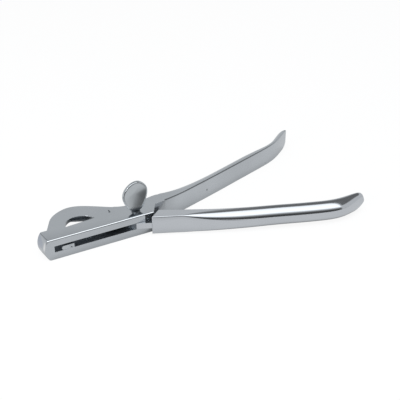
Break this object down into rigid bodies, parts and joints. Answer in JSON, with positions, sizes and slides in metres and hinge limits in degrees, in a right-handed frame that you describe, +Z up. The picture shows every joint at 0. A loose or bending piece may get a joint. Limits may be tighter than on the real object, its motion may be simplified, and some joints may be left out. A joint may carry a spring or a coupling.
{
  "type": "emasculator",
  "caption": "Small polished steel emasculator: slotted bar with a looped guard plate, a hinged blade lever, an oval-headed thumb screw and two curved handles",
  "frame": {"origin": "on the pivot axis, in the plane of the bar's underside", "axes": "+X along the bar towards the handles, +Y away from the slot's open front, +Z up along the pivot"},
  "size_m": [0.2543, 0.1279, 0.0449],
  "materials": {
    "frame_steel": "satin polish",
    "lever_steel": "bright polish",
    "screw_steel": "bright polish"
  },
  "bodies": {
    "frame_body": {"frame": "frame_steel", "stop_stud": "screw_steel"},
    "lever_body": {"cutting_lever": "lever_steel"},
    "screw_body": {"thumb_screw": "screw_steel"}
  },
  "joints": [
    {"name": "lever_pivot", "type": "hinge", "parent": "frame_body", "child": "lever_body", "pos_m": [0, 0, 0.00905], "axis": [0, 0, 1], "range_deg": [0, 22]},
    {"name": "screw_turn", "type": "hinge", "parent": "frame_body", "child": "screw_body", "pos_m": [0, 0, 0.0178], "axis": [0, 0, 1], "continuous": true}
  ]
}
